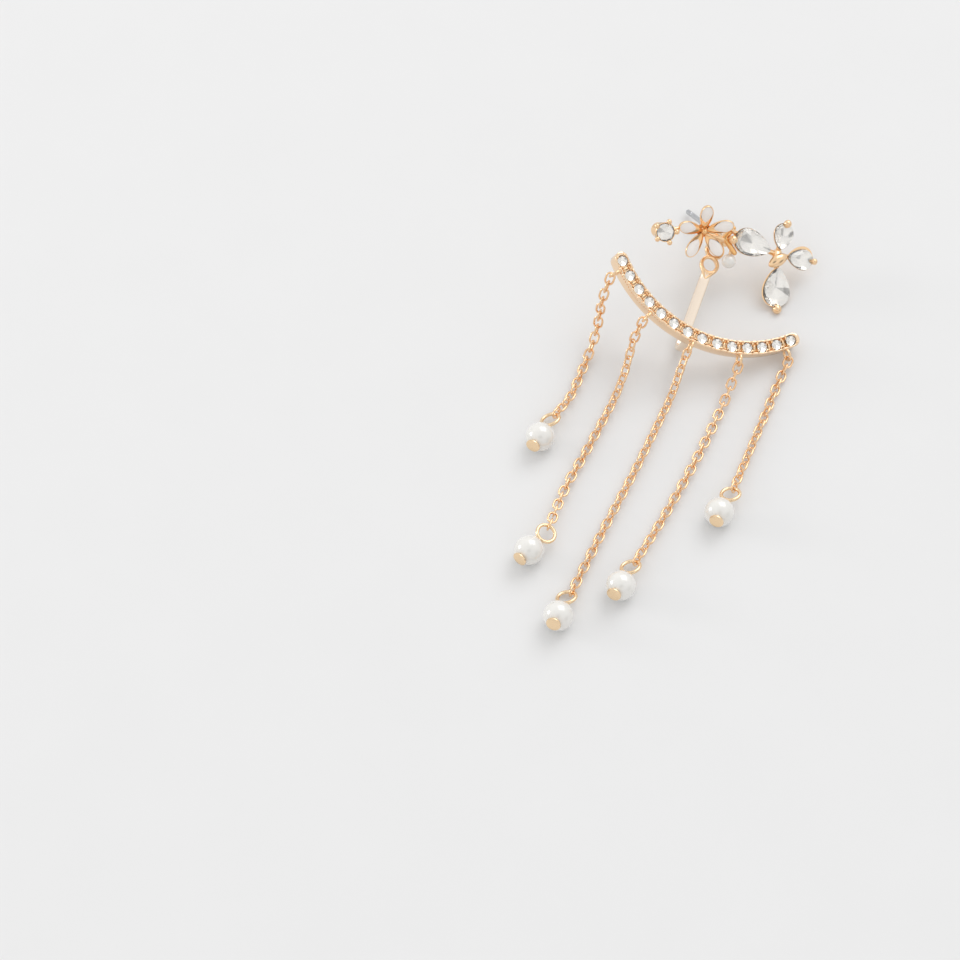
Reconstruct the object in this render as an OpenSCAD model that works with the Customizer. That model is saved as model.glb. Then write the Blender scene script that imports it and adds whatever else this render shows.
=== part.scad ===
// Ear jacket earring, lying on a flat surface.
// A flower and stone climber sits on a steel post. The post goes through the plate of a jacket,
// whose curved bar of small stones carries five fine chains with pearl drops.
// Millimetres, +Z up. The origin is on the surface, in the middle of the earring's footprint.

/* [Bar] */
// Radius of the arc through the middles of the bar's stones
bar_r = 18.9; // [18.6:0.1:19.2]
// Angle from the middle of the bar to the stone at each end
bar_half = 44.5; // [43:0.5:45.5]
// Width of the bar over its two rims
bar_w = 1.95; // [1.9:0.05:2.1]
// Depth of the bar from its rims to its back
bar_d = 2.3; // [2.1:0.1:2.4]
// Thickness of each rim
rim_t = 0.3; // [0.25:0.05:0.35]
// Depth of the channel between the rims
channel_d = 0.45; // [0.4:0.05:0.5]
// Number of stones in the bar
bar_count = 14; // [14:1:14]
// Diameter of a stone in the bar
bar_stone_d = 1.5; // [1.4:0.05:1.5]

/* [Loops under the bar] */
// Gaps between stones that carry a loop, counted from the left end
loop_gaps = [0, 3, 6, 9, 12];
// Radius of a loop at the middle of its wire
loop_r = 0.8; // [0.75:0.01:0.82]
// Thickness of a loop's wire
loop_wire = 0.4; // [0.35:0.01:0.42]

/* [Stem and plate] */
// Distance from the bar's stones to the lowest hole of the plate
hole_y = 12.9; // [12.5:0.1:13.2]
// Distance from one hole to the next
hole_pitch = 2.4; // [2.3:0.05:2.5]
// Diameter of each hole
hole_d = 1.8; // [1.75:0.05:1.9]
// Outer diameter of the ring round each hole
ring_d = 2.9; // [2.8:0.05:3]
// Thickness of the plate and the stem
plate_t = 0.7; // [0.6:0.05:0.7]
// Width of the stem
stem_w = 1.5; // [1.3:0.1:1.6]
// Distance of the plate's middle behind the rims of the bar
plate_back = 5.8; // [5.7:0.1:5.9]
// Radius of the bend at the foot of the stem
bend_r = 1.5; // [1.4:0.05:1.6]

/* [Post] */
// Diameter of the post
post_d = 0.75; // [0.7:0.01:0.8]
// Length of the post
post_l = 11.5; // [11:0.1:11.6]
// Distance from the tip to the groove near it
groove_at = 1.6; // [1.2:0.1:2]

/* [Chains] */
// Length of a link
link_l = 1.98; // [1.97:0.01:1.99]
// Width of a link
link_w = 1.46; // [1.44:0.01:1.47]
// Thickness of a link's wire
link_wire = 0.3; // [0.28:0.01:0.3]
// Distance from link to link before it is fitted to a chain's length
link_pitch = 1.25; // [1.24:0.01:1.25]

/* [Pearl drops] */
// Diameter of a pearl
pearl_d = 4; // [3.9:0.1:4]
// Diameter of the hole through a pearl
pearl_hole = 0.7; // [0.65:0.05:0.8]
// Diameter of the flat head of a pin
pin_head_d = 2; // [1.8:0.1:2.1]
// Thickness of the eye's wire
eye_wire = 0.5; // [0.45:0.01:0.5]
// Radius of the eye at the middle of its wire
eye_r = 1.25; // [1.23:0.01:1.27]

/* [Climber] */
// Length of a petal from the middle of the flower
petal_l = 4.4; // [4.2:0.1:4.5]
// Width of a petal
petal_w = 1.9; // [1.7:0.1:2]
// Angle by which the petals rise
petal_cup = 18; // [15:1:20]
// Diameter of the round stone at the flower's end
round_d = 2.5; // [2.3:0.1:2.6]
// Diameter of the small pearl
seed_d = 2; // [1.9:0.1:2.1]

/* [Hidden] */
// Space left between pieces that are set into each other
gap = 0.05;
eps = 0.01;

// Where the jacket and the climber lie, and how each is turned
jacket_at = [3.6, 9, 6.35];
jacket_turn = [14.3, 22, -15];
stud_at = [8.5, 25.9, 5.9];
stud_turn = [58, 29.5, 9];

// Pearl drops as they lie: x, y, heading of the pin, dip of its eye, roll about the pin,
// then how far the pearl's hole is off its middle, sideways and up
pearls = [
    [-17.9, -4.9, 64, 12, -26, 0, 0.2],
    [-19.6, -22.8, 51, 8, 18, 0, 0.3],
    [-15.9, -32.7, 70, 20, -20, -0.1, 0.3],
    [-7.6, -28.2, 64, 15, -22, 0, 0.3],
    [5.9, -16.9, 66, 14, -15, -0.4, 0.3]];

// Chains as they lie between loop and eye: the points that each one passes, x, y, z
low = 0.77;
lays = [
    [[-9.2, 13.6, 8.3], [-9.6, 12.7, 4.6], [-10.1, 11.4, 2.4], [-11.3, 8.5, low],
        [-13.5, 2.8, low]],
    [[-4.8, 9.1, 5.3], [-5.4, 7.7, 3.4], [-6.2, 5.4, 1.7], [-8, 1.1, low],
        [-11.7, -6.6, low], [-14.6, -12.4, low]],
    [[1.7, 5.7, 3.3], [-0.1, 1.5, low], [-5, -9.4, low], [-9.3, -18.3, low]],
    [[9.1, 5, 2.1], [7.1, 0.4, low], [3.2, -8, low], [-1.6, -17.2, low]],
    [[15.6, 5.5, low], [13.1, -0.6, low], [10.2, -7.6, low]]];
// How each chain leaves its loop and meets its eye, the roll of its first link and its whole twist
ends = [
    [50, -10, -5, 25],
    [50, 20, -35, -70],
    [35, -15, -50, -30],
    [10, -10, -15, 40],
    [0, 0, -15, -50]];

// Pear stones of the cluster: angle, distance of the near end, length, width, then the claw's
// distance along and across that angle and its radius, then the cup's depth and how it draws in
cluster = [
    [-79, 1.85, 5.55, 4.1, 7.7, 0, 0.58, 0.97, 0.72],
    [89, 0.8, 3.7, 2.9, 4.5, 0, 0.5, 0.75, 0.85],
    [4, 1.5, 3.9, 2.9, 5.5, 0, 0.4, 0.85, 0.85],
    [173, 1.45, 5.75, 3.7, 7.5, 0.7, 0.55, 1.2, 0.9]];
bead_at = [-0.1, -0.85, 0.3];
cluster_at = [6.9, 0.6, 4.05];
cluster_turn = [-20, -10, 0];
flower_at = [-4.5, 0.8, 0.9];
flower_turn = [3, -13.5, 0];
round_at = [-10.4, -0.7, 1.1];
round_turn = [-12, -22, 0];
seed_at = [0.2, -2.3, 2.7];

bar_step = 2 * bar_half / (bar_count - 1);
stone_numbers = [for (i = [1:bar_count]) str("bar_stone_", i < 10 ? "0" : "", i)];

// A point turned about X, then Y, then Z, as rotate() does
function about_x(p, a) = [p.x, p.y * cos(a) - p.z * sin(a), p.y * sin(a) + p.z * cos(a)];
function about_y(p, a) = [p.x * cos(a) + p.z * sin(a), p.y, p.z * cos(a) - p.x * sin(a)];
function about_z(p, a) = [p.x * cos(a) - p.y * sin(a), p.x * sin(a) + p.y * cos(a), p.z];
function turned(p, t) = about_z(about_y(about_x(p, t.x), t.y), t.z);

module in_jacket() translate(jacket_at) rotate(jacket_turn) children();
module in_stud() translate(stud_at) rotate(stud_turn) children();
module in_cluster() in_stud() translate(cluster_at) rotate(cluster_turn) children();
module on_bar(angle) translate([0, bar_r, 0]) rotate(angle) translate([0, -bar_r, 0]) children();

// The jacket's frame: bar with rims, claws and loops, bend, stem and plate
loop_out = bar_w / 2 + loop_r - 0.1;
loop_z = -0.55;
end_angle = bar_half + 0.35 / bar_r * 180 / PI;

module arc_strip(width, low_z, high_z) {
    translate([0, bar_r, 0])
        rotate(-90 - end_angle)
            rotate_extrude(angle = 2 * end_angle, $fn = 180)
                translate([bar_r - width / 2, low_z])
                    square([width, high_z - low_z]);
    for (side = [-1, 1])
        on_bar(side * end_angle)
            translate([0, 0, low_z])
                cylinder(h = high_z - low_z, d = width, $fn = 40);
}

module stone_seat() {
    translate([0, 0, -channel_d]) cylinder(h = 1, d = bar_stone_d + 2 * gap, $fn = 32);
    translate([0, 0, -0.97]) cylinder(h = 0.97 - channel_d + eps, r1 = 0.06, r2 = 0.63, $fn = 32);
}

module bar_claws() {
    claw_y = 0.52;
    translate([-0.15, -claw_y, -channel_d - eps]) cube([0.3, 2 * claw_y, channel_d - 0.12]);
    for (side = [-1, 1])
        translate([0, side * claw_y, -channel_d - eps]) cylinder(h = channel_d + 0.1, r = 0.19, $fn = 20);
}

module bar_loop()
    translate([0, -loop_out, loop_z])
        rotate([0, 90, 0])
            rotate_extrude($fn = 40) translate([loop_r, 0]) circle(d = loop_wire, $fn = 20);

module stem_profile() {
    bend_y = 0.5;
    riser = [bend_y - bend_r, -plate_back + bend_r];
    half = plate_t / 2;
    translate([bend_y, -plate_back - half]) square([hole_y - bend_y - ring_d * 0.4, plate_t]);
    intersection() {
        translate([bend_y, riser.y])
            difference() {
                circle(r = bend_r + half, $fn = 64);
                circle(r = bend_r - half, $fn = 64);
            }
        translate([riser.x - 1, -plate_back - 1]) square([bend_r + 1, bend_r + 1]);
    }
    polygon([[riser.x - half, riser.y - eps], [riser.x + half, riser.y - eps],
        [0.15, 0.2 - bar_d], [-0.6, 0.2 - bar_d]]);
}

module stem()
    rotate([90, 0, 90])
        translate([0, 0, -stem_w / 2])
            linear_extrude(stem_w) stem_profile();

module plate_rings()
    for (i = [0:2])
        translate([0, hole_y + i * hole_pitch, -plate_back - plate_t / 2])
            cylinder(h = plate_t, d = ring_d, $fn = 48);

module plate_holes()
    for (i = [0:2])
        translate([0, hole_y + i * hole_pitch, -plate_back - 1])
            cylinder(h = 2, d = hole_d, $fn = 48);

module jacket_frame()
    color("#e0b67c") in_jacket() {
        difference() {
            arc_strip(bar_w, -bar_d, 0);
            arc_strip(bar_w - 2 * rim_t, -channel_d, 1);
            for (i = [0:bar_count - 1]) on_bar(-bar_half + i * bar_step) stone_seat();
        }
        for (i = [0:bar_count - 2]) on_bar(-bar_half + (i + 0.5) * bar_step) bar_claws();
        for (g = loop_gaps) on_bar(-bar_half + (g + 0.5) * bar_step) bar_loop();
        difference() {
            union() {
                stem();
                plate_rings();
            }
            plate_holes();
        }
    }

// A cut stone: an outline drawn in to a table above the girdle and to a point below it.
// The outline is round, or a pear with its narrow end at -X.
function round_outline(d, n) = [for (i = [0:n - 1]) d / 2 * [cos(360 * i / n), sin(360 * i / n)]];
function pear_outline(l, w, n) = [for (i = [0:n - 1])
    let (a = 360 * i / n) [-l / 2 * cos(a), -w / 2 * sin(a) * (0.4 + 0.8 * sin(a / 2))]];

module cut_stone(shape, crown, girdle, pavilion, table) {
    n = len(shape);
    points = concat(
        [for (p = shape) [p.x * table, p.y * table, crown]],
        [for (p = shape) [p.x, p.y, 0]],
        [for (p = shape) [p.x, p.y, -girdle]],
        [[0, 0, -girdle - pavilion]]);
    bands = [for (band = [0, 1]) for (i = [0:n - 1])
        let (j = (i + 1) % n)
        [band * n + i, band * n + j, band * n + n + j, band * n + n + i]];
    tip = [for (i = [0:n - 1]) [2 * n + i, 2 * n + (i + 1) % n, 3 * n]];
    polyhedron(points, concat([[for (i = [n - 1:-1:0]) i]], bands, tip));
}

module bar_stone(i)
    color("#e9eef2") in_jacket() on_bar(-bar_half + i * bar_step)
        translate([0, 0, -0.2])
            cut_stone(round_outline(bar_stone_d, 12), 0.26, 0.08, 0.57, 0.56);

// Chains: a route through the hand-placed points, and links spaced along it
function loop_end(k) =
    let (lean = ends[k][0], reach = bar_r + loop_out + loop_r * cos(lean))
    jacket_at + turned([0, bar_r, loop_z - loop_r * sin(lean)]
        + about_z([0, -reach, 0], -bar_half + (loop_gaps[k] + 0.5) * bar_step), jacket_turn);
function pin_turn(k) = [pearls[k][4], pearls[k][3], pearls[k][2]];
function eye_end(k) =
    let (side = ends[k][1])
    [pearls[k].x, pearls[k].y, pearl_d / 2]
        + turned([eye_x + eye_r * cos(side), pearls[k][5] + eye_r * sin(side), pearls[k][6]], pin_turn(k));

eye_x = pearl_d / 2 + 0.03 + eye_wire / 2 + eye_r;

function spline(a, b, c, d, t) = (2 * b + (c - a) * t + (2 * a - 5 * b + 4 * c - d) * t * t
    + (3 * b - a - 3 * c + d) * t * t * t) / 2;
function above(p) = [p.x, p.y, max(p.z, low)];
function route(k) =
    let (q = concat([loop_end(k)], lays[k], [eye_end(k)]), n = len(q), m = 12)
    [for (i = [0:n - 2]) for (j = [0:i == n - 2 ? m : m - 1])
        let (a = i == 0 ? 2 * q[0] - q[1] : q[i - 1], d = i == n - 2 ? 2 * q[n - 1] - q[n - 2] : q[i + 2])
        above(spline(a, q[i], q[i + 1], d, j / m))];
function lengths(p, i = 0, s = 0) = i == len(p) - 1 ? [s]
    : concat([s], lengths(p, i + 1, s + norm(p[i + 1] - p[i])));
function axis_table(s, p, axis) = [for (i = [0:len(p) - 1]) [s[i], p[i][axis]]];

// The wires of loop, links and eye pass each other with this much from middle to middle
function pass(wire) = (wire + link_wire) / 2 + 0.13;

module link() {
    end_r = (link_w - link_wire) / 2;
    half = (link_l - link_w) / 2;
    for (side = [0, 1])
        mirror([side, 0, 0]) {
            translate([half, 0, 0]) rotate(-90)
                rotate_extrude(angle = 180, $fn = 24)
                    translate([end_r, 0]) circle(d = link_wire, $fn = 14);
            translate([0, (side * 2 - 1) * end_r, 0]) rotate([0, 90, 0])
                translate([0, 0, -half]) cylinder(h = 2 * half, d = link_wire, $fn = 14);
        }
}

module chain(k)
    color("#d9a868") {
        p = route(k);
        s = lengths(p);
        table = [for (axis = [0:2]) axis_table(s, p, axis)];
        reach = (link_l - link_wire) / 2;
        first = reach - pass(loop_wire);
        last = s[len(s) - 1] + pass(eye_wire) - reach;
        count = round((last - first) / link_pitch);
        for (i = [0:count]) {
            at = first + (last - first) * i / count;
            c = [for (t = table) lookup(at, t)];
            d = [for (t = table) lookup(at + 0.5, t) - lookup(at - 0.5, t)];
            roll = ends[k][2] + ends[k][3] * i / count + 90 * (i % 2);
            translate(c)
                rotate([roll, -atan2(d.z, norm([d.x, d.y])), atan2(d.y, d.x)])
                    link();
        }
    }

module at_pearl(k) translate([pearls[k].x, pearls[k].y, pearl_d / 2]) rotate(pin_turn(k)) children();
module at_pin(k) at_pearl(k) translate([0, pearls[k][5], pearls[k][6]]) children();

module pearl(k)
    color("#eceee6") difference() {
        at_pearl(k) sphere(d = pearl_d, $fn = 64);
        at_pin(k) rotate([0, 90, 0]) cylinder(h = pearl_d + 1, d = pearl_hole, center = true, $fn = 24);
    }

module head_pin(k) {
    head_x = -pearl_d / 2 - 0.03;
    color("#e3bd84") at_pin(k) {
        rotate([0, 90, 0]) {
            translate([0, 0, head_x - 0.3]) cylinder(h = 0.3, d = pin_head_d, $fn = 40);
            translate([0, 0, head_x - 0.1]) cylinder(h = eye_x - eye_r - head_x + 0.1, d = 0.44, $fn = 24);
        }
        translate([eye_x, 0, 0])
            rotate_extrude($fn = 48) translate([eye_r, 0]) circle(d = eye_wire, $fn = 24);
    }
}

// The climber: petals, cups, claws and arms are one casting, round the stones and the post's pad
module ball(p, r) translate(p) sphere(r = r, $fn = 14);
module arm(p, q, r, s)
    hull() {
        ball(p, r);
        ball(q, s);
    }

module petal_place(i) in_stud() translate(flower_at) rotate(flower_turn)
    rotate(36 + 72 * (i - 1)) rotate([0, -petal_cup, 0]) children();

// A petal's outline from one distance to another, drawn in by an inset
module petal_outline(start, inset) {
    l = petal_l - start - inset;
    translate([start + l / 2, 0]) polygon(pear_outline(l, petal_w - 2 * inset, 28));
}

module petal_shell() translate([0, 0, -0.1]) linear_extrude(0.48) petal_outline(0.4, 0);
module petal_recess() translate([0, 0, 0.14]) linear_extrude(0.5) petal_outline(1.6, 0.2);

module enamel_petal(i)
    color("#f1ebe8") petal_place(i)
        translate([0, 0, 0.14 + gap]) linear_extrude(0.18) petal_outline(1.6 + gap, 0.2 + gap);

module cluster_place(row) in_cluster() rotate(row[0]) translate([row[1] + row[2] / 2, 0, 0]) children();

module pear_stone(row)
    cluster_place(row) cut_stone(pear_outline(row[2], row[3], 16), row[3] * 0.18, 0.12, row[3] * 0.2, 0.55);

// The space that a stone needs in the casting
module pear_space(row)
    cluster_place(row) translate([0, 0, 0.1])
        cut_stone(pear_outline(row[2] + 0.12, row[3] + 0.12, 16), row[3] * 0.2, 0.28, row[3] * 0.2, 0.7);

// A cup follows its stone's girdle and draws in below; a claw holds the stone's round end
module pear_cup(row) {
    cluster_place(row)
        translate([0, 0, -0.06]) mirror([0, 0, 1])
            linear_extrude(row[7], scale = row[8])
                polygon(pear_outline(row[2] + 0.3, row[3] + 0.3, 32));
    in_cluster() rotate(row[0]) {
        arm([row[1] + row[2] - 0.4, 0, -0.4], [row[4] - 0.15, row[5], 0.1], 0.25, row[6] * 0.7);
        ball([row[4], row[5], 0.3], row[6]);
        arm([0.8, 0, -0.6], [row[1] + 1.5, 0, -0.7], 0.4, 0.3);
    }
}

module crown_cup() {
    r = round_d / 2;
    translate([0, 0, -1.3]) cylinder(h = 1.2, r1 = r * 0.62, r2 = r + 0.12, $fn = 28);
    for (i = [0:4])
        rotate(i * 72 + 20) {
            arm([r * 0.75, 0, -1.1], [r + 0.3, 0, 0.1], 0.2, 0.24);
            ball([r + 0.28, 0, 0.28], 0.33);
        }
}

module crown_space()
    translate([0, 0, 0.1]) cut_stone(round_outline(round_d + 0.12, 16), 0.5, 0.28, 0.8, 0.7);

module flower_middle() {
    translate([0, 0, -0.25]) cylinder(h = 0.5, r = 1.25, $fn = 24);
    ball([0, 0, 0.35], 0.42);
    ball([0, 0, 0.75], 0.3);
}

module cluster_middle() {
    translate(bead_at) rotate(42) scale([1.6, 1, 0.7]) sphere(r = 1, $fn = 24);
    hull() {
        ball(bead_at - [0, 0, 0.4], 0.7);
        ball([0, 0.2, -0.7], 0.7);
    }
}

module casting_metal() {
    for (row = cluster) pear_cup(row);
    in_cluster() cluster_middle();
    for (i = [1:5]) petal_place(i) petal_shell();
    in_stud() {
        translate(flower_at) rotate(flower_turn) flower_middle();
        translate(round_at) rotate(round_turn) crown_cup();
        cylinder(h = 0.6, r = 0.95, $fn = 28);
        arm([0, 0, 0.6], flower_at, 0.5, 0.5);
        arm([0, 0, 0.5], [1.2, 1, 1.6], 0.5, 0.5);
        arm(flower_at + [0.8, -0.4, 0.3], [-0.9, -0.1, 1.5], 0.3, 0.3);
        arm([-0.9, -0.1, 1.5], [0.4, 0.5, 1.5], 0.3, 0.4);
        arm([-2.1, 2.5, 2.2], [0.3, 1.6, 1.9], 0.3, 0.35);
        arm(round_at + [1, 0.2, -0.7], flower_at + [-2.6, 0, -0.09], 0.35, 0.3);
        arm([0, 0, 0.6], seed_at - [0, 0, seed_d / 2], 0.4, 0.4);
    }
}

module casting_spaces() {
    for (row = cluster) pear_space(row);
    for (i = [1:5]) petal_place(i) petal_recess();
    in_stud() {
        translate(round_at) rotate(round_turn) crown_space();
        translate(seed_at) sphere(d = seed_d + 2 * gap, $fn = 40);
    }
}

module climber_casting()
    color("#dfae6e") difference() {
        casting_metal();
        casting_spaces();
    }

module ear_post()
    color("#b9bdc2") in_stud()
        difference() {
            translate([0, 0, -post_l]) union() {
                translate([0, 0, 0.3]) cylinder(h = post_l - 0.3, d = post_d, $fn = 32);
                cylinder(h = 0.3, d1 = post_d * 0.55, d2 = post_d, $fn = 32);
            }
            translate([0, 0, groove_at - post_l])
                rotate_extrude($fn = 32) translate([post_d / 2 + 0.2, 0]) circle(r = 0.35, $fn = 24);
        }

module round_stone()
    color("#e9eef2") in_stud() translate(round_at) rotate(round_turn)
        cut_stone(round_outline(round_d, 16), 0.42, 0.1, 0.8, 0.56);

module seed_pearl()
    color("#efeee8") in_stud() translate(seed_at) sphere(d = seed_d, $fn = 40);

jacket_frame();
for (i = [0:bar_count - 1])
    bar_stone(i);
for (k = [0:4]) {
    chain(k);
    pearl(k);
    head_pin(k);
    enamel_petal(k + 1);
}
for (i = [0:3])
    color("#e9eef2") pear_stone(cluster[i]);
climber_casting();
ear_post();
round_stone();
seed_pearl();
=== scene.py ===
import math
from collections import namedtuple

import bmesh
import bpy
import numpy as np
from mathutils import Matrix


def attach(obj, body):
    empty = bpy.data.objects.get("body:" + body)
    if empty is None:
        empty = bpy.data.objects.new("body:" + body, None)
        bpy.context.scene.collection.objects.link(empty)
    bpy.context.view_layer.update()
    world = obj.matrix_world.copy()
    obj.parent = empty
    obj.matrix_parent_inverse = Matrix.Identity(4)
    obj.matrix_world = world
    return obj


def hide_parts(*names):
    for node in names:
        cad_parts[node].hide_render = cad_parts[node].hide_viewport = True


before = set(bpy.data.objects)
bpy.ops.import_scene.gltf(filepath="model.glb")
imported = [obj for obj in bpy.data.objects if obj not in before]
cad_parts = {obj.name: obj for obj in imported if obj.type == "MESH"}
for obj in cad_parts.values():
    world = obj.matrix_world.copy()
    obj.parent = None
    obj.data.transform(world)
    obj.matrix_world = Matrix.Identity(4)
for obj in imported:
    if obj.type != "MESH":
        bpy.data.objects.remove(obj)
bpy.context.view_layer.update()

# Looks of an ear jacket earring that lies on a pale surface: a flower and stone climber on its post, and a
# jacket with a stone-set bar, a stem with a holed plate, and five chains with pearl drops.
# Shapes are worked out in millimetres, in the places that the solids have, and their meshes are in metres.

MM = 0.001
TAU = 2 * math.pi


# Places

def turn(x, y, z):
    """The 3 x 3 matrix that turns about X, then Y, then Z, by angles in degrees."""
    cx, cy, cz = np.cos(np.radians([x, y, z]))
    sx, sy, sz = np.sin(np.radians([x, y, z]))
    about_x = np.array([[1, 0, 0], [0, cx, -sx], [0, sx, cx]])
    about_y = np.array([[cy, 0, sy], [0, 1, 0], [-sy, 0, cy]])
    about_z = np.array([[cz, -sz, 0], [sz, cz, 0], [0, 0, 1]])
    return about_z @ about_y @ about_x


def place(at=(0, 0, 0), turned=(0, 0, 0)):
    """The 4 x 4 matrix of a place: turned first, then moved."""
    matrix = np.eye(4)
    matrix[:3, :3] = turn(*turned)
    matrix[:3, 3] = at
    return matrix


def put(part, matrix):
    """A part, which is points and faces, moved to a place."""
    points, faces = part
    return points @ matrix[:3, :3].T + matrix[:3, 3], faces


# The bar's middle, with the stones' faces towards Z, and the post's root, with the post along -Z
JACKET = place((3.6, 9, 6.35), (14.3, 22, -15))
STUD = place((8.5, 25.9, 5.9), (58, 29.5, 9))
# Where the flower, the cluster of pear stones and the round stone's cup are, as seen from the post's root
FLOWER_AT = np.array([-4.5, 0.8, 0.9])
CLUSTER_AT = np.array([6.9, 0.6, 4.05])
CROWN_AT = np.array([-10.4, -0.7, 1.1])
FLOWER = STUD @ place(FLOWER_AT, (3, -13.5, 0))
CLUSTER = STUD @ place(CLUSTER_AT, (-20, -10, 0))
CROWN = STUD @ place(CROWN_AT, (-12, -22, 0))
# A pearl drop's place, and how far its hole is off the pearl's middle, sideways and up
PEARLS = [(place((x, y, 2), (roll, dip, heading)), across, up) for x, y, heading, dip, roll, across, up in (
    (-17.9, -4.9, 64, 12, -26, 0, 0.2),
    (-19.6, -22.8, 51, 8, 18, 0, 0.3),
    (-15.9, -32.7, 70, 20, -20, -0.1, 0.3),
    (-7.6, -28.2, 64, 15, -22, 0, 0.3),
    (5.9, -16.9, 66, 14, -15, -0.4, 0.3))]

# The bar: its arc, its section, its stones and their seats, half its channel's width between them, how far
# its round ends' middles lie beyond the last stones, and its loops, each under a gap that LOOP_GAPS counts
BAR_R = 18.9
BAR_HALF = math.radians(44.5)
BAR_COUNT = 14
BAR_STEP = 2 * BAR_HALF / (BAR_COUNT - 1)
BAR_W = 1.95
BAR_D = 2.3
BAR_STONE_D = 1.5
SEAT_R = 0.78
CHANNEL_HALF = 0.68
CAP_OUT = 0.35
LOOP_GAPS = (0, 3, 6, 9, 12)
LOOP_R = 0.8
LOOP_WIRE = 0.4
# The stem and its plate: the first hole's place, the holes and rings, the stem's width, how deep both lie
# behind the bar, and the bend
HOLE_Y = 12.9
HOLE_PITCH = 2.4
HOLE_D = 1.8
HOLE_COUNT = 3
RING_D = 2.9
PLATE_T = 0.7
STEM_W = 1.5
PLATE_BACK = 5.8
BEND_R = 1.5
# The flower and the stones
PETAL_COUNT = 5
PETAL_L = 4.4
PETAL_W = 1.9
PETAL_CUP = 18
ROUND_D = 2.5
CROWN_CLAWS = 5
# The pearl drops and the small pearl
PEARL_D = 4
PEARL_HOLE = 0.7
PIN_HEAD_D = 2
EYE_WIRE = 0.5
EYE_R = 1.25
SEED_AT = np.array([0.2, -2.3, 2.7])
SEED_D = 2


def on_bar(angle):
    """The place on the bar's arc at an angle from its middle, in radians."""
    centre = place((0, BAR_R, 0), (0, 0, math.degrees(angle)))
    return JACKET @ centre @ place((0, -BAR_R, 0))


# Surfaces

def grid(points, around=True, caps=False):
    """Quads between the rows and columns of a grid of points. Its columns may close round, and its end rows
    may be capped."""
    rows, columns = points.shape[:2]
    index = np.arange(rows * columns).reshape(rows, columns)
    left = index if around else index[:, :-1]
    right = np.roll(index, -1, axis=1) if around else index[:, 1:]
    faces = np.stack([left[:-1], right[:-1], right[1:], left[1:]], axis=-1).reshape(-1, 4).tolist()
    if caps:
        faces += [index[0, ::-1].tolist(), index[-1].tolist()]
    return points.reshape(-1, 3), faces


def joined(parts):
    """Several parts as one."""
    starts = np.cumsum([0] + [len(points) for points, _ in parts])
    faces = [[i + int(start) for i in face] for start, (_, some) in zip(starts, parts) for face in some]
    return np.concatenate([points for points, _ in parts]), faces


def revolved(radius, height, sides=32):
    """A profile of radii and heights turned about Z: (r cos a, r sin a, z)."""
    angle = TAU * np.arange(sides) / sides
    radius, height = np.broadcast_arrays(np.asarray(radius, float), np.asarray(height, float))
    ring = np.stack([np.cos(angle), np.sin(angle)], axis=-1)
    points = np.empty((len(radius), sides, 3))
    points[..., :2] = radius[:, None, None] * ring
    points[..., 2] = height[:, None]
    return grid(points)


def ball(at, radius, sides=20, rows=12, stretch=(1, 1, 1)):
    """A sphere, stretched along its axes: radius (sin t cos a, sin t sin a, -cos t)."""
    t = np.linspace(0, math.pi, rows + 1)
    points, faces = revolved(np.sin(t), -np.cos(t), sides)
    return points * radius * np.asarray(stretch, float) + at, faces


def rod(start, end, r0, r1, sides=16, rows=5):
    """A rod from ball to ball: a profile of two quarter circles and the line between them, turned about its
    own axis."""
    start, end = np.asarray(start, float), np.asarray(end, float)
    axis = end - start
    length = np.linalg.norm(axis)
    axis /= length
    side = np.cross(axis, (0, 0, 1) if abs(axis[2]) < 0.9 else (1, 0, 0))
    side /= np.linalg.norm(side)
    t = np.linspace(0, math.pi / 2, rows + 1)
    radius = np.concatenate([r0 * np.sin(t), r1 * np.cos(t)])
    height = np.concatenate([-r0 * np.cos(t), length + r1 * np.sin(t)])
    points, faces = revolved(radius, height, sides)
    return points @ np.stack([side, np.cross(axis, side), axis]) + start, faces


def torus(radius, wire):
    """A ring in the XY plane: ((R + r cos t) cos a, (R + r cos t) sin a, r sin t)."""
    a = TAU * np.arange(48)[:, None] / 48
    t = TAU * np.arange(16)[None, :] / 16
    reach = radius + wire / 2 * np.cos(t)
    points = np.stack([reach * np.cos(a), reach * np.sin(a), wire / 2 * np.sin(t) + 0 * a], axis=-1)
    return grid(np.concatenate([points, points[:1]]))


def squared(wave, power):
    """A sine or cosine pushed towards a square wave, more so the nearer the power is to 0."""
    return np.sign(wave) * np.abs(wave) ** power


def swept(path, normal, across, width, thickness, power):
    """A rounded bar carried along a path in one plane. Its section is a superellipse, its width along
    `across` and its thickness along the path's normal: |x / a| ^ n + |y / b| ^ n = 1, with n = 2 / power."""
    t = TAU * np.arange(28) / 28
    x = width / 2 * squared(np.cos(t), power)
    y = thickness[:, None] / 2 * squared(np.sin(t), power)
    return grid(path[:, None] + x[:, None] * across + y[..., None] * normal[:, None], caps=True)


def smooth(low, high, x):
    """A step from 0 at low to 1 at high, with level ends: 3 t t - 2 t t t."""
    t = np.clip((x - low) / (high - low), 0, 1)
    return t * t * (3 - 2 * t)


# Bar

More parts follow.
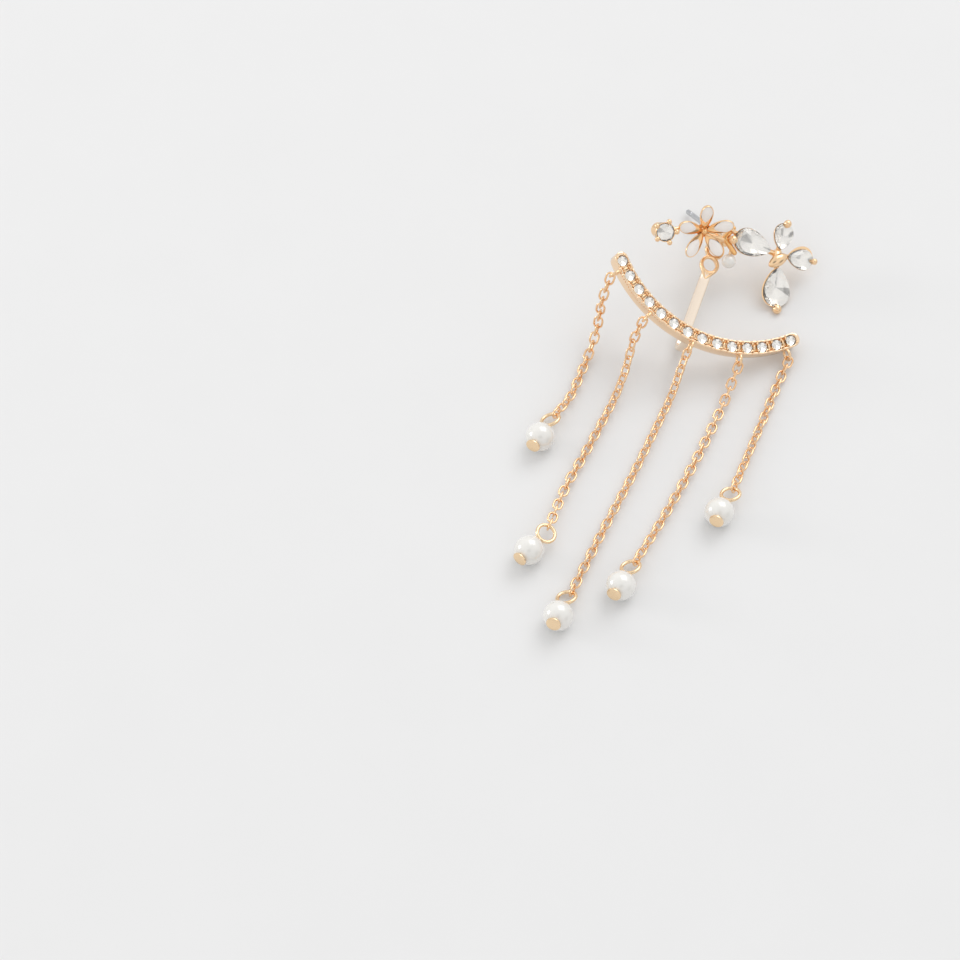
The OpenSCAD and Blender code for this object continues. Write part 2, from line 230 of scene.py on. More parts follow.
def bar_channel():
    """The bar with its rims. One parameter runs once round the bar's outline: outer arc, end, inner arc,
    end. The other goes across the wall: from the middle of the channel's hollow floor, up the seat's wall,
    over the rim, down the outside, past a line of dots under the rim, and back under the bar. The seat's
    wall follows the stones' circles, and the rim stands up between them, with a notch at each seat's
    corners."""
    arc_per_stone, cap_count, dot_every = 32, 22, 6
    end = BAR_HALF + CAP_OUT / BAR_R
    arc = np.linspace(-end, end, arc_per_stone * BAR_COUNT)
    cap = np.linspace(0, math.pi, cap_count)[1:-1]
    bend = np.concatenate([arc, 0 * cap + end, arc[::-1], 0 * cap - end])
    out = np.concatenate([0 * arc, cap, 0 * arc + math.pi, cap + math.pi])
    in_cap = np.concatenate([0 * arc, 0 * cap + 1, 0 * arc, 0 * cap + 1]) > 0
    steps = (bend + BAR_HALF) / BAR_STEP
    along = np.abs(steps - np.round(np.clip(steps, 0, BAR_COUNT - 1)))
    ahead = np.where(in_cap, np.sin(out % math.pi), 0)
    seat = np.sqrt(np.maximum(SEAT_R ** 2 - (along * BAR_STEP * BAR_R) ** 2, 0))
    seat_cap = np.sqrt(SEAT_R ** 2 - CAP_OUT ** 2 * (1 - ahead ** 2)) - CAP_OUT * ahead
    inner = np.where(in_cap, seat_cap, np.maximum(seat, CHANNEL_HALF))
    between = np.where(in_cap, 0.8 * smooth(0.5, 0.95, ahead), smooth(0.26, 0.36, along))
    notch = np.exp(-((along - 0.3) / 0.035) ** 2) * ~in_cap
    top = -0.05 + 0.08 * between - 0.09 * notch
    beat = 0.5 + 0.5 * np.cos(TAU * np.arange(arc.size) / dot_every)
    dots = np.concatenate([beat, 0 * cap + 0.5, beat[::-1], 0 * cap + 0.5])
    half = BAR_W / 2
    profile = (
        (0, -0.52),
        (0.45 * inner, -0.5),
        (0.8 * inner, -0.42),
        (inner, -0.26),
        (inner, top - 0.06),
        (inner + 0.03, top - 0.015),
        (inner + 0.08, top),
        (half - 0.11 - 0.05 * notch, top),
        (half - 0.035 - 0.05 * notch, top - 0.03),
        (half - 0.04 * notch, top - 0.1),
        (half, -0.2),
        (half - 0.03 - 0.07 * dots, -0.27),
        (half, -0.34),
        (half, -0.9),
        (half, -1.5),
        (half, 0.3 - BAR_D),
        (half - 0.07, 0.1 - BAR_D),
        (half - 0.22, 0.01 - BAR_D),
        (half - 0.45, -BAR_D),
        (0.3, -BAR_D),
        (0, -BAR_D))
    x, z = (np.stack([station[k] + 0 * bend for station in profile]) for k in (0, 1))
    heading = bend - math.pi / 2 + out
    middle_x, middle_y = BAR_R * np.sin(bend), BAR_R - BAR_R * np.cos(bend)
    points = np.stack([middle_x + x * np.cos(heading), middle_y + x * np.sin(heading), z], axis=-1)
    return put(grid(points), JACKET)


def bar_claws():
    """Small bead claws at the stones' edges: four in each gap, with a saddle under them, and two at each
    end."""
    parts = []
    for gap in range(BAR_COUNT - 1):
        here = on_bar(-BAR_HALF + (gap + 0.5) * BAR_STEP)
        for x in (-0.36, 0.36):
            for y in (-0.5, 0.5):
                parts.append(put(rod((0.7 * x, y, -0.45), (x, y, 0.01), 0.12, 0.17, 12, 4), here))
        parts.append(put(ball((0, 0, -0.45), 1, 16, 8, (0.24, 0.6, 0.2)), here))
    for side in (-1, 1):
        for y in (-0.54, 0.54):
            end_claw = rod((0.7 * side, y, -0.45), (0.68 * side, y, 0.01), 0.12, 0.17, 12, 4)
            parts.append(put(end_claw, on_bar(side * BAR_HALF)))
    return joined(parts)


def bar_loops():
    """A ring of wire under each loop's gap, in the plane across the bar, with its solder at the wall."""
    parts = []
    for gap in LOOP_GAPS:
        out = BAR_W / 2 + LOOP_R - 0.1
        here = on_bar(-BAR_HALF + (gap + 0.5) * BAR_STEP) @ place((0, -out, -0.55), (0, 90, 0))
        parts.append(put(torus(LOOP_R, LOOP_WIRE), here))
        parts.append(put(ball((0, LOOP_R, 0), 1, 16, 8, (0.32, 0.16, 0.27)), here))
    return joined(parts)


# Stem and plate

def stem():
    """The flat stem: a straight riser under the bar, a quarter bend, then a straight run to the plate."""
    root = np.array([-0.22, 0.25 - BAR_D])
    bend_at = np.array([0.5, BEND_R - PLATE_BACK])
    riser = root + (bend_at - (BEND_R, 0) - root) * np.linspace(0, 1, 7)[:-1, None]
    angle = np.linspace(math.pi, 1.5 * math.pi, 17)
    bend = bend_at + BEND_R * np.stack([np.cos(angle), np.sin(angle)], axis=-1)
    run_y = np.linspace(bend_at[0], HOLE_Y - RING_D * 0.4, 30)[1:]
    run = np.stack([run_y, 0 * run_y - PLATE_BACK], axis=-1)
    path = np.concatenate([riser, bend, run])
    tangent = np.gradient(path, axis=0)
    tangent /= np.linalg.norm(tangent, axis=1)[:, None]
    normal = np.stack([0 * path[:, 0], -tangent[:, 1], tangent[:, 0]], axis=-1)
    points = np.stack([0 * path[:, 0], path[:, 0], path[:, 1]], axis=-1)
    thick = PLATE_T - 0.16 * smooth(HOLE_Y - 2.6, HOLE_Y - 1.6, path[:, 0])
    return put(swept(points, normal, np.array([1, 0, 0]), STEM_W, thick, 0.44), JACKET)


def plate():
    """Three rings in a row, each a superellipse turned about its hole's axis: |x / a| ^ n + |z / b| ^ n = 1.
    Two ribs run from the first ring's sides together on the stem, with solder between them."""
    t = TAU * np.arange(25) / 24
    half = (RING_D - HOLE_D) / 4
    radius = (RING_D + HOLE_D) / 4 + half * squared(np.cos(t), 0.7)
    height = PLATE_T / 2 * squared(np.sin(t), 0.7)
    ring = revolved(radius, height, 48)
    first = JACKET @ place((0, HOLE_Y, -PLATE_BACK))
    rings = [put(ring, first @ place((0, i * HOLE_PITCH, 0))) for i in range(HOLE_COUNT)]
    ribs = [rod((side * 1.04, -0.62, 0.16), (0, -2.35, 0.12), 0.26, 0.22) for side in (-1, 1)]
    ribs.append(rod((0, -1.2, 0.02), (0, -1.85, 0.02), 0.36, 0.22))
    return joined(rings + [put(rib, first) for rib in ribs])


# Cut stones

def round_outline(d):
    """A circle, as a function of the angle round it."""
    return lambda a: d / 2 * np.stack([np.cos(a), np.sin(a)], axis=-1)


def pear_outline(length, width):
    """A pear, narrow at -X, as a function of the angle: (-l/2 cos a, -w/2 sin a (0.4 + 0.8 sin a/2))."""
    return lambda a: np.stack([
        -length / 2 * np.cos(a), -width / 2 * np.sin(a) * (0.4 + 0.8 * np.sin(a / 2))], axis=-1)


def brilliant(outline, crown, girdle, pavilion, table=0.56, mains=8, lower=0.3):
    """A brilliant cut within an outline. Above the girdle: a table, a star facet on each side of it, kites
    from its corners to the girdle and pairs of upper facets between them. Below: pairs of lower facets and
    long kites to the point. A kite's side corners lie on the plane through its ends, so that its two halves
    read as one facet. `table`, `star` and `lower` are the outline's shares at the table's corners, at the
    star facets' tips and at the side corners of the kites below."""
    star = 0.8
    even = TAU * np.arange(mains) / mains
    odd = even + TAU / mains / 2
    rim = TAU * np.arange(2 * mains) / (2 * mains)
    inward = math.cos(TAU / mains / 2)

    def level(flat, z):
        return np.column_stack([flat, np.full(len(flat), z)])

    points = np.concatenate([
        level(table * outline(even), crown),
        level(star * outline(odd), crown * (1 - star * inward) / (1 - table)),
        level(outline(rim), 0),
        level(outline(rim), -girdle),
        level(lower * outline(odd), -girdle - pavilion * (1 - lower * inward)),
        [[0, 0, -girdle - pavilion]]])
    n = mains
    tables, stars, girdles, bellies, lowers, tip = 0, n, 2 * n, 4 * n, 6 * n, 7 * n
    faces = [list(range(tables, n))]
    for k in range(n):
        after, before = (k + 1) % n, (k - 1) % n
        g = [girdles + (2 * k + j) % (2 * n) for j in range(3)]
        b = [bellies + (2 * k + j) % (2 * n) for j in range(3)]
        faces += [
            [tables + k, stars + k, tables + after],
            [tables + k, g[0], stars + k],
            [tables + k, stars + before, g[0]],
            [stars + k, g[0], g[1]],
            [stars + k, g[1], g[2]],
            [g[0], b[0], b[1], g[1]],
            [g[1], b[1], b[2], g[2]],
            [lowers + k, b[1], b[0]],
            [lowers + k, b[2], b[1]],
            [tip, lowers + k, b[0]],
            [tip, b[0], lowers + before]]
    return points, faces


def bar_stone(i):
    """A stone of the bar, each turned a little further than the one before."""
    here = on_bar(-BAR_HALF + i * BAR_STEP) @ place((0, 0, -0.2), (0, 0, 11 * i))
    return put(brilliant(round_outline(BAR_STONE_D), 0.26, 0.06, 0.16), here)


def round_stone():
    """The climber's round stone, in its cup."""
    return put(brilliant(round_outline(ROUND_D), 0.4, 0.08, 0.3), CROWN)


# Cluster

# A pear stone of the cluster: its angle, how far out its narrow end is, its length and width, how far along
# and across its claw's ball is, and the ball's radius, its cup's depth, what share of the outline is left at
# the cup's foot, and how much thicker the cup is on one side: its left one above 0, its right one below
Pear = namedtuple("Pear", "angle near length width claw_along claw_across claw_r depth foot thicker")
PEARS = (
    Pear(-79, 1.85, 5.55, 4.1, 7.7, 0, 0.58, 0.97, 0.72, -0.2),
    Pear(89, 0.8, 3.7, 2.9, 4.5, 0, 0.5, 0.75, 0.85, 0),
    Pear(4, 1.5, 3.9, 2.9, 5.5, 0, 0.4, 0.85, 0.85, 0.4),
    Pear(173, 1.45, 5.75, 3.7, 7.5, 0.7, 0.55, 1.2, 0.9, 0))
BEAD_AT = np.array([-0.1, -0.85, 0.3])


def cluster_place(pear):
    """The place of a pear stone's middle."""
    return CLUSTER @ place(turned=(0, 0, pear.angle)) @ place((pear.near + pear.length / 2, 0, 0))


def pear_stone(pear):
    """A pear stone, with more and smaller facets than the round ones."""
    outline = pear_outline(pear.length, pear.width)
    cut = brilliant(outline, 0.13 * pear.width, 0.05, 0.12 * pear.width, 0.5, 14, lower=0.5)
    return put(cut, cluster_place(pear))


def pear_cup(pear):
    """A cup's wall: the pear outline carried from the hollow's floor up to the rim, over it, down the
    outside while it draws in, and to the middle of the underside. One side may be thicker, most of all at
    the pear's widest place. A station is the outline's growth, its share of that size and its height."""
    a = TAU * np.arange(56) / 56
    width, depth, foot = pear.width, pear.depth, pear.foot
    hollow = (
        (0, 0, -0.3 * width - 0.12),
        (0, 0.5, -0.16 * width - 0.12),
        (0, 0.93, -0.2),
        (0.03, 0.96, -0.17))
    rim = ((0.06, 1, -0.15),)
    outside = (
        (0.1, 1, -0.17),
        (0.12, 1, -0.24),
        (0.2, 0.5 + 0.5 * foot, -0.06 - 0.55 * depth),
        (0.26, foot, -depth),
        (0.2, foot, -0.06 - depth),
        (0, 0.5 * foot, -0.06 - depth),
        (0, 0, -0.06 - depth))
    stations = hollow + rim + outside
    points = np.empty((len(stations), a.size, 3))
    for i, (growth, share, z) in enumerate(stations):
        points[i, :, :2] = pear_outline(pear.length + growth, width + growth)(a) * share
        points[i, :, 2] = max(z, 0.1 - depth) if i < len(hollow) else z
    bulge = pear.thicker * np.maximum(-np.sign(pear.thicker) * np.sin(a), 0)
    points[-len(outside):, :, 1] += bulge
    return put(grid(points), cluster_place(pear))


def claw(pear):
    """A claw: a stalk up the stone's round end that widens into a ball, and a rib under the stone to the
    cluster's middle."""
    stalk_from = (pear.near + pear.length - 0.4, 0, -0.4)
    stalk_to = (pear.claw_along - 0.2, pear.claw_across, 0.05)
    parts = [
        rod(stalk_from, stalk_to, 0.25, 0.8 * pear.claw_r),
        ball((pear.claw_along, pear.claw_across, 0.3), 1.14 * pear.claw_r, 28, 18),
        rod((0.8, 0, -0.6), (pear.near + 1.5, 0, -0.7), 0.4, 0.3)]
    return put(joined(parts), CLUSTER @ place(turned=(0, 0, pear.angle)))


def cluster_bead():
    """The bead where the stones meet, a plump leaf: its section's radius falls as (1 - t t) ^ 0.72 to both
    ends."""
    t = np.sin(np.linspace(-math.pi / 2, math.pi / 2, 29))
    points, faces = revolved((1 - t * t) ** 0.72, t, 32)
    points = points[:, [2, 0, 1]] * (1.66, 0.86, 0.72)
    return put((points, faces), CLUSTER @ place(BEAD_AT, (0, 0, 42)))


def cluster_metal():
    """The cups and claws of the pear stones, and the bead on its foot."""
    foot = rod(BEAD_AT - (0, 0, 0.4), (0, 0.2, -0.7), 0.7, 0.7, 24)
    parts = [part for pear in PEARS for part in (pear_cup(pear), claw(pear))]
    return joined(parts + [cluster_bead(), put(foot, CLUSTER)])


def cluster_fork():
    """The two short prongs round the inner large stone's end, from one root."""
    fork = [rod((8.4, 0.75, -0.75), end, 0.42, 0.36) for end in ((7.75, -0.95, -0.5), (6.35, 2.2, -0.5))]
    return put(joined(fork), CLUSTER @ place(turned=(0, 0, PEARS[3].angle)))


# Flower

def petal_place(i):
    """The place of a petal, which points along its own X."""
    return FLOWER @ place(turned=(0, 0, 36 + 360 * i / PETAL_COUNT)) @ place(turned=(0, -PETAL_CUP, 0))


def petal_outline(start, inset):
    """A petal's outline from a distance to its tip, drawn in by an inset, as a function of the angle."""
    length = PETAL_L - start - inset
    flat = pear_outline(length, PETAL_W - 2 * inset)
    return lambda a: flat(a) + (start + length / 2, 0)


def petal(i):
    """A petal's dish: its outline shrunk towards a point inside it. The floor is hollow, the rim stands
    round it and is rounded over, and the underside is a little drawn in. A station is how far it is drawn
    in, all the way for 9, and its height."""
    a = TAU * np.arange(48) / 48
    edge = petal_outline(0.4, 0)(a)
    heart = np.array([2.6, 0])
    drawn = np.hypot(*(edge - heart).T)
    stations = (
        (9, 0.06), (0.9, 0.07), (0.5, 0.09), (0.2, 0.14), (0.13, 0.26), (0.115, 0.34), (0.09, 0.38),
        (0.05, 0.385), (0.015, 0.35), (0, 0.28), (0, 0.05), (0.05, -0.06), (0.16, -0.1), (9, -0.1))
    points = np.empty((len(stations), a.size, 3))
    for k, (inset, z) in enumerate(stations):
        keep = np.maximum(1 - inset / drawn, 0)[:, None]
        points[k, :, :2] = heart + (edge - heart) * keep
        points[k, :, 2] = z
    return put(grid(points), petal_place(i))


def enamel(i):
    """Domed enamel in a petal's dish: height 0.29 + 0.2 (1 - q q) over an outline shrunk by q, with a flat
    underside."""
    a = TAU * np.arange(48) / 48
    edge = petal_outline(1.55, 0.1)(a)
    heart = np.array([2.95, 0])
    q = np.concatenate([np.sin(np.linspace(0, math.pi / 2, 9)), [1, 0.7, 0]])
    z = np.concatenate([0.29 + 0.2 * (1 - q[:9] ** 2), [0.2, 0.16, 0.16]])
    points = np.empty((q.size, a.size, 3))
    points[..., :2] = heart + (edge - heart) * q[:, None, None]
    points[..., 2] = z[:, None]
    return put(grid(points), petal_place(i))


def flower_middle():
    """The flower's middle: a low dish that the petals' rims run into, and a ball on its stalk."""
    radius = (0, 0.3, 0.6, 0.85, 1.0, 1.02, 0.95, 0)
    height = (-0.02, -0.02, 0.0, 0.06, 0.08, 0, -0.25, -0.25)
    dish = revolved(radius, height, 40)
    return put(joined([dish, ball((0, 0, 0.24), 0.34), ball((0, 0, 0.6), 0.44, 28, 18)]), FLOWER)


def flower_metal():
    """The flower's metal: its petals' dishes and its middle."""
    return joined([petal(i) for i in range(PETAL_COUNT)] + [flower_middle()])


# Round stone's cup, and the arms that carry all

def crown_metal():
    """The round stone's cup, a cone that leans outward and has a seat, with claws on stalks round it."""
    r = ROUND_D / 2
    radius = (0, 0.84 * r, 0.88 * r, r + 0.1, r + 0.13, r + 0.1, r + 0.03, 0.55 * r, 0)
    height = (-1.3, -1.3, -1.26, -0.2, -0.12, -0.08, -0.1, -0.85, -0.95)
    cone, faces = revolved(radius, height, 40)
    cone[:, 0] += 0.75 * (cone[:, 2] + 0.2) * (cone[:, 2] < -0.2)
    parts = [(cone, faces)]
    out = r + 0.28
    for i in range(CROWN_CLAWS):
        angle = math.radians(360 * i / CROWN_CLAWS + 20)
        x, y = math.cos(angle), math.sin(angle)
        parts.append(rod((0.75 * r * x, 0.75 * r * y, -1.1), (out * x, out * y, 0.1), 0.2, 0.25))
        parts.append(ball((out * x, out * y, 0.28), 0.38, 24, 14))
    return put(joined(parts), CROWN)


def arms():
    """The pad on the post and the arms from it to flower, cluster, round stone and small pearl."""
    pad = revolved((0, 0.85, 0.93, 0.95, 0.95, 0.9, 0.8, 0), (0, 0, 0.03, 0.1, 0.5, 0.57, 0.6, 0.6), 32)
    return put(joined([
        pad,
        rod((0, 0, 0.6), FLOWER_AT, 0.5, 0.5),
        rod((0, 0, 0.5), (1.2, 1, 1.6), 0.5, 0.5),
        rod(FLOWER_AT + (0.6, -0.4, 0.35), (-1.25, 0.4, 1.9), 0.28, 0.3),
        rod((-1.25, 0.4, 1.9), (0.4, 0.5, 1.5), 0.3, 0.4),
        rod((-2.1, 2.5, 2.2), (0.3, 1.6, 1.9), 0.3, 0.35),
        rod(CROWN_AT + (1, 0.2, -0.7), FLOWER_AT + (-2.6, 0, -0.09), 0.35, 0.3),
        rod((0, -0.5, 2.5), SEED_AT - (0, -0.7, 0.3), 0.25, 0.25),
        ball(SEED_AT - (0, 0, 0.4), 0.8, stretch=(1, 1, 0.65))]), STUD)


# Pearl drops

def head_pin(k):
    """A head pin: a disc with a soft edge behind the pearl, a wire through it, and a round eye."""
    here, across, up = PEARLS[k]
    back = -PEARL_D / 2 - 0.03
    half = PIN_HEAD_D / 2
    eye_x = PEARL_D / 2 + 0.03 + EYE_WIRE / 2 + EYE_R
    disc = revolved((0, 0.5 * half, half - 0.1, half - 0.03, half, half - 0.03, half - 0.1, 0),
                    (-0.3, -0.3, -0.29, -0.25, -0.15, -0.05, 0, 0), 40)
    upright = place((back, 0, 0), (0, 90, 0))
    wire = rod((back - 0.1, 0, 0), (eye_x - EYE_R, 0, 0), 0.22, 0.22)
    eye = put(torus(EYE_R, EYE_WIRE), place((eye_x, 0, 0)))
    return put(joined([put(disc, upright), wire, eye]), here @ place((0, across, up)))


def drilled_pearl(k):
    """A pearl whose hole may be off its middle. Rings run from the hole's edge out to the widest one and on
    to the hole's far end. A ring's middle moves from the hole's axis to the pearl's own, and each point is
    on the sphere: x = sqrt(r r - y y - z z). The hole's wall closes the form."""
    here, across, up = PEARLS[k]
    a = TAU * np.arange(60)[None, :] / 60
    reach, hole = PEARL_D / 2, PEARL_HOLE / 2
    ring = hole + (reach - hole) * np.sin(np.linspace(0, math.pi / 2, 20))[:, None]
    drift = (reach - ring) / (reach - hole)
    y = drift * across + ring * np.cos(a)
    z = drift * up + ring * np.sin(a)
    x = np.sqrt(np.maximum(reach ** 2 - y ** 2 - z ** 2, 0))
    front = np.stack([x, y, z], axis=-1)
    back = front[-2::-1] * (-1, 1, 1)
    return put(grid(np.concatenate([front, back, front[:1]])), here)


def seed_pearl():
    """The small pearl under the flower."""
    return put(ball(SEED_AT, SEED_D / 2, 40, 28), STUD)


# Shading

class Wire:
    """A socket's output. Operators between wires and numbers add Math nodes."""

    def __init__(self, shader, socket):
        self.shader = shader
        self.socket = socket

    def math(self, operation, a, b):
        return self.shader.node("ShaderNodeMath", {"operation": operation}, {0: a, 1: b})

    def __add__(self, other):
        return self.math("ADD", self, other)

    def __sub__(self, other):
        return self.math("SUBTRACT", self, other)

    def __rsub__(self, other):
        return self.math("SUBTRACT", other, self)

    def __mul__(self, other):
        return self.math("MULTIPLY", self, other)

    def __pow__(self, other):
        return self.math("POWER", self, other)

    __radd__ = __add__
    __rmul__ = __mul__


class Shader:
    """A material or a world under way: its main shader and the nodes that feed it."""

    def __init__(self, owner, surface="Principled BSDF", **constants):
        self.owner = owner
        self.owner.use_nodes = True
        self.tree = self.owner.node_tree
        self.surface = self.tree.nodes[surface]
        self.set(**constants)

    def set(self, **inputs):
        """Sets or links the main shader's sockets, named with _ for a space."""
        for name, value in inputs.items():
            self.feed(self.surface.inputs[name.replace("_", " ")], value)

    def feed(self, socket, value):
        if isinstance(value, Wire):
            self.tree.links.new(value.socket, socket)
        elif isinstance(value, tuple) and len(value) == 3 and socket.type == "RGBA":
            socket.default_value = (*value, 1)
        else:
            socket.default_value = value

    def node(self, kind, settings=None, inputs=None, output=0):
        """A node of any kind: its settings first, then its sockets' values or links. Gives one output."""
        new = self.tree.nodes.new(kind)
        for name, value in (settings or {}).items():
            if name == "stops":
                ramp = new.color_ramp
                while len(ramp.elements) < len(value):
                    ramp.elements.new(0.5)
                for element, (position, colour) in zip(ramp.elements, value):
                    element.position = position
                    element.color = (*colour, 1)
            else:
                setattr(new, name, value)
        for name, value in (inputs or {}).items():
            self.feed(new.inputs[name], value)
        return Wire(self, new.outputs[output])

    def place(self, stretch=(1, 1, 1), turned=(0, 0, 0)):
        """Object coordinates, turned and stretched."""
        where = self.node("ShaderNodeTexCoord", output="Object")
        turned = tuple(math.radians(t) for t in turned)
        return self.node("ShaderNodeMapping", None, {"Vector": where, "Rotation": turned, "Scale": stretch})

    def noise(self, size, where=None):
        """Smooth noise from 0 to 1 whose blots are about `size` millimetres."""
        where = where or self.place()
        inputs = {"Vector": where, "Scale": 1 / (size * MM), "Detail": 3.0, "Roughness": 0.55}
        return self.node("ShaderNodeTexNoise", None, inputs)

    def blend(self, factor, a, b):
        """A colour between two colours."""
        return self.node("ShaderNodeMix", {"data_type": "RGBA"}, {0: factor, 6: a, 7: b}, output=2)

    def bump(self, height, depth):
        """A normal for a relief whose full height is `depth` millimetres."""
        return self.node("ShaderNodeBump", None, {"Height": height, "Distance": depth * MM, "Strength": 1.0})


def metal(name, light, deep, rough, relief, hollow=None):
    """Polished plating: its colour deepens in soft patches, its polish varies, and it has fine ripples. A
    hollow is a point in millimetres, a reach and a deeper colour that is painted shade: it stands in for the
    shade and inter-reflections in the corners round that point."""
    shader = Shader(bpy.data.materials.new(name), Metallic=1.0)
    patch = shader.noise(2.2)
    grain = shader.noise(0.22)
    colour = shader.blend(patch, light, deep)
    if hollow:
        # Painted shade: towards the point the colour turns to the deeper orange of shade and
        # inter-reflections in the corners.
        point, reach, dark = hollow
        where = {0: shader.place(), 1: tuple(float(v) * MM for v in point)}
        away = shader.node("ShaderNodeVectorMath", {"operation": "DISTANCE"}, where, output=1)
        colour = shader.blend((away * (1 / (reach * MM))) ** 2.0 + 0.25 * (patch - 0.5), dark, colour)
    shader.set(Base_Color=colour)
    shader.set(Roughness=rough + 0.1 * (patch - 0.5) + 0.06 * (grain - 0.5))
    shader.set(Normal=shader.bump(grain * 0.6 + shader.noise(0.07) * 0.4, relief))
    return shader.owner


def steel():
    """Drawn steel: fine lines along the post."""
    shader = Shader(bpy.data.materials.new("post_steel"), Metallic=1.0)
    lines = shader.noise(0.05, shader.place((1, 0.06, 1), (-58, 0, 0)))
    patch = shader.noise(1.2)
    shader.set(Base_Color=shader.blend(patch, (0.62, 0.63, 0.64), (0.5, 0.51, 0.53)))
    shader.set(Roughness=0.26 + 0.14 * (lines - 0.5), Normal=shader.bump(lines, 0.004))
    return shader.owner


def stone_glass():
    """Cut stone, clear but for a faint warm cloud in it. It bends light little, so that the foil's facets
    read bright through it, and a clear coat gives it the gloss of a harder stone."""
    shader = Shader(bpy.data.materials.new("clear_stone"), Transmission_Weight=0.94, IOR=1.22, Roughness=0.0,
                    Coat_Weight=1.0, Coat_IOR=1.65, Coat_Roughness=0.0)
    shader.set(Base_Color=shader.blend(shader.noise(0.8), (0.99, 0.99, 0.98), (0.96, 0.96, 0.95)))
    return shader.owner


def stone_foil():
    """The silvery foil on a stone's girdle and the facets below it."""
    shader = Shader(bpy.data.materials.new("stone_foil"), Metallic=1.0)
    patch = shader.noise(0.7)
    shader.set(Base_Color=shader.blend(patch, (0.98, 0.96, 0.93), (0.95, 0.92, 0.88)))
    shader.set(Roughness=0.06 + 0.06 * patch)
    return shader.owner


def pearl_coat():
    """Pearl: a soft body colour that drifts between cream, rose and a cool green, under a clear lustre."""
    shader = Shader(bpy.data.materials.new("pearl"), Coat_Roughness=0.06, Coat_IOR=1.7, IOR=2.0)
    cloud = shader.noise(1.8)
    drift = shader.noise(3.1, shader.place(turned=(0, 40, 20)))
    body = shader.blend(cloud, (0.83, 0.82, 0.78), (0.78, 0.78, 0.73))
    shader.set(Base_Color=shader.blend(drift * 0.5, body, (0.84, 0.78, 0.75)))
    shader.set(Roughness=0.24 + 0.1 * (cloud - 0.5), Coat_Weight=0.85 + 0.3 * (drift - 0.5))
    shader.set(Normal=shader.bump(shader.noise(0.25), 0.002))
    return shader.owner


def petal_enamel():
    """Fired enamel: milky, with thin rosy patches, and a surface that undulates a little."""
    shader = Shader(bpy.data.materials.new("petal_enamel"), Coat_Roughness=0.05, Coat_Weight=0.6)
    cloud = shader.noise(1.1)
    shader.set(Base_Color=shader.blend(cloud, (0.97, 0.93, 0.9), (0.91, 0.86, 0.82)))
    shader.set(Roughness=0.2 + 0.1 * (cloud - 0.5), Normal=shader.bump(shader.noise(0.5), 0.01))
    return shader.owner


def floor_paint():
    """Matt pale board with a barely visible mottle."""
    shader = Shader(bpy.data.materials.new("pale_board"), Roughness=0.9)
    shader.set(Base_Color=shader.blend(shader.noise(14), (0.79, 0.79, 0.79), (0.77, 0.77, 0.77)))
    return shader.owner


ROSE_GOLD = metal("rose_gold", (0.96, 0.7, 0.45), (0.92, 0.64, 0.38), 0.13, 0.004)
# A lighter copy of the rose gold for the bar: painted light that stands in for brighter reflections on its
# walls.
BAR_PAINTED_LIGHT_GOLD = metal("bar_gold_painted_light", (0.98, 0.76, 0.54), (0.95, 0.7, 0.47), 0.12, 0.004)
# A paler copy of the rose gold for the stem: a painted highlight for its flat face, which faces the bright
# room overhead.
STEM_PAINTED_HIGHLIGHT_GOLD = metal("stem_gold_painted_highlight", (0.95, 0.83, 0.7), (0.92, 0.78, 0.64), 0.16, 0.003)
# The flower's gold carries painted shade: a deeper orange round the flower's middle stands in for the shade
# and inter-reflections of its dish.
FLOWER_GOLD = metal("flower_gold", (0.96, 0.7, 0.45), (0.92, 0.64, 0.38), 0.13, 0.004,
                    (FLOWER[:3, 3], 2.1, (0.92, 0.54, 0.24)))
# A darker, deeper orange copy of the rose gold: painted shade for the fork, which sits in shade round the
# inner large stone's end.
PAINTED_SHADE_GOLD = metal("painted_shade_gold", (0.92, 0.56, 0.26), (0.86, 0.48, 0.18), 0.2, 0.004)
CHAIN_GOLD = metal("chain_gold", (0.95, 0.67, 0.42), (0.89, 0.59, 0.35), 0.12, 0.003)
PIN_GOLD = metal("pin_gold", (0.96, 0.74, 0.49), (0.92, 0.68, 0.43), 0.22, 0.004)
STEEL = steel()
STONE = stone_glass()
FOIL = stone_foil()
PEARL = pearl_coat()
ENAMEL = petal_enamel()


# Pieces

def piece(name, part, body, slot, material, *nodes, crease=42, foil=False):
    """A mesh from a part: seams and poles merged, faces outward, edges sharper than the crease angle kept
    crisp. It rides on its body and stands for its nodes; its slot is not used. A cut stone's girdle and all
    below it are foiled."""
    points, faces = part
    mesh = bpy.data.meshes.new(name)
    mesh.from_pydata((points * MM).tolist(), [], faces)
    mesh.materials.append(material)
    if foil:
        mesh.materials.append(FOIL)
        clear, foiled = 5, 6
        mains = (len(faces) - 1) // (clear + foiled)
        mesh.polygons.foreach_set("material_index", [0] + ([0] * clear + [1] * foiled) * mains)
    work = bmesh.new()
    work.from_mesh(mesh)
    bmesh.ops.remove_doubles(work, verts=work.verts, dist=0.0004 * MM)
    bmesh.ops.recalc_face_normals(work, faces=work.faces)
    work.to_mesh(mesh)
    work.free()
    mesh.polygons.foreach_set("use_smooth", [crease > 0] * len(mesh.polygons))
    if crease:
        mesh.set_sharp_from_angle(angle=math.radians(crease))
    new = bpy.data.objects.new(name, mesh)
    bpy.context.scene.collection.objects.link(new)
    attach(new, body)
    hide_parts(*nodes)


def stone(name, part, body, node):
    """A cut stone: flat facets, and foil behind it."""
    piece(name, part, body, "clear_stone", STONE, node, crease=0, foil=True)


# The bar's channel takes the lighter copy of the gold, which is painted light.
piece("bar_channel", bar_channel(), "jacket", "rose_gold", BAR_PAINTED_LIGHT_GOLD, "jacket_frame")
piece("bar_claws", bar_claws(), "jacket", "rose_gold", ROSE_GOLD, "jacket_frame")
piece("bar_loops", bar_loops(), "jacket", "rose_gold", ROSE_GOLD, "jacket_frame")
